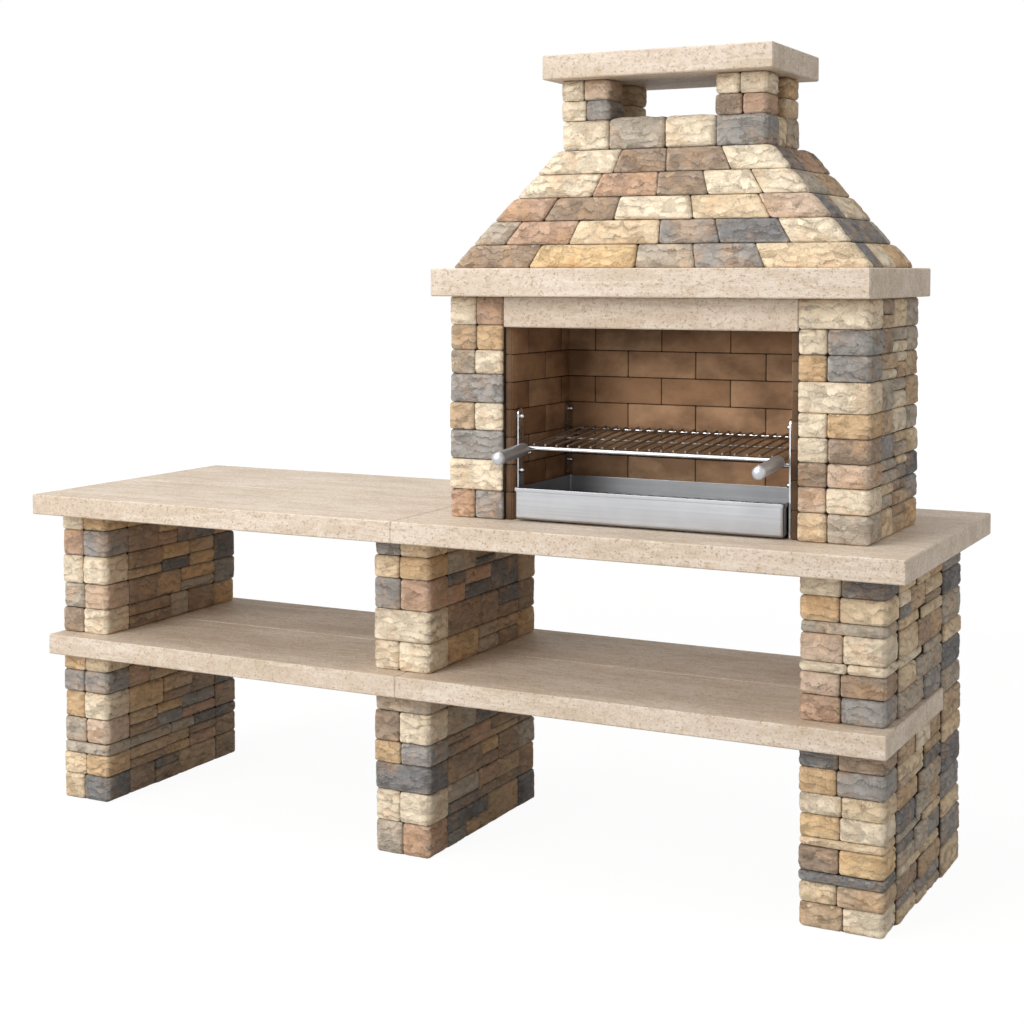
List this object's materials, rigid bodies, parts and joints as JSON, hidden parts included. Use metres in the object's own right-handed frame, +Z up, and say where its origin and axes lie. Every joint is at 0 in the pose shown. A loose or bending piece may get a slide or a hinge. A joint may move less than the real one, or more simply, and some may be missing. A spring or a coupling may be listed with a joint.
{
  "type": "masonry barbecue",
  "caption": "Free-standing masonry barbecue: stone piers carry a shelf and a worktop, and a firebrick hearth with a sliding grill and charcoal tray stands under a hipped stone hood.",
  "frame": {"origin": "on the ground under the middle of the worktop", "axes": "+X along the worktop towards the hearth end, +Y to the back, +Z up"},
  "size_m": [2.54, 0.87, 2.099],
  "materials": {
    "split_stone": "rock-faced",
    "limestone": "honed",
    "firebrick": "matte",
    "refractory": "matte",
    "stainless_sheet": "brushed",
    "bright_steel": "polished",
    "grill_rod_steel": "heat-stained",
    "grate_iron": "sooty",
    "grip_aluminium": "satin"
  },
  "bodies": {
    "masonry": {"back_firebrick_lining": "firebrick", "back_wall": "split_stone", "chimney_cap": "limestone", "chimney_collar": "split_stone", "chimney_post_back_left": "split_stone", "chimney_post_back_right": "split_stone", "chimney_post_front_left": "split_stone", "chimney_post_front_right": "split_stone", "grill_pins": "bright_steel", "hood_course_1": "split_stone", "hood_course_2": "split_stone", "hood_course_3": "split_stone", "hood_course_4": "split_stone", "hood_course_5": "split_stone", "hood_panels": "refractory", "left_back_upright": "bright_steel", "left_firebrick_lining": "firebrick", "left_front_upright": "bright_steel", "left_jamb": "split_stone", "lintel": "limestone", "lower_left_pier": "split_stone", "lower_middle_pier": "split_stone", "lower_right_pier": "split_stone", "mantel": "limestone", "peg_spacers": "bright_steel", "right_back_upright": "bright_steel", "right_firebrick_lining": "firebrick", "right_front_upright": "bright_steel", "right_jamb": "split_stone", "right_pier_tail": "split_stone", "shelf_left_back": "limestone", "shelf_left_front": "limestone", "shelf_right_back": "limestone", "shelf_right_front": "limestone", "upper_left_pier": "split_stone", "upper_middle_pier": "split_stone", "upper_right_pier": "split_stone", "wall_pegs": "bright_steel", "worktop_left_back": "limestone", "worktop_left_front": "limestone", "worktop_right_back": "limestone", "worktop_right_front": "limestone"},
    "tray": {"charcoal_tray": "stainless_sheet", "tray_runners": "stainless_sheet"},
    "grate": {"grate_bars": "grate_iron", "grate_bearers": "grate_iron"},
    "grill": {"grill_back_bar": "bright_steel", "grill_front_bar": "bright_steel", "grill_left_side_bar": "bright_steel", "grill_middle_bar": "grill_rod_steel", "grill_right_side_bar": "bright_steel", "grill_rods": "grill_rod_steel", "handle_caps": "grip_aluminium", "handle_ferrules": "grip_aluminium", "handle_grips": "grip_aluminium"}
  },
  "joints": [
    {"name": "tray_slide", "type": "slide", "parent": "masonry", "child": "tray", "axis": [0, -1, 0], "range_m": [0, 0.56]},
    {"name": "grate_lift", "type": "slide", "parent": "tray", "child": "grate", "axis": [0, 0, 1], "range_m": [0, 0.08]},
    {"name": "grill_slide", "type": "slide", "parent": "masonry", "child": "grill", "axis": [0, -0.9965, -0.0837], "range_m": [0, 0.6]}
  ]
}
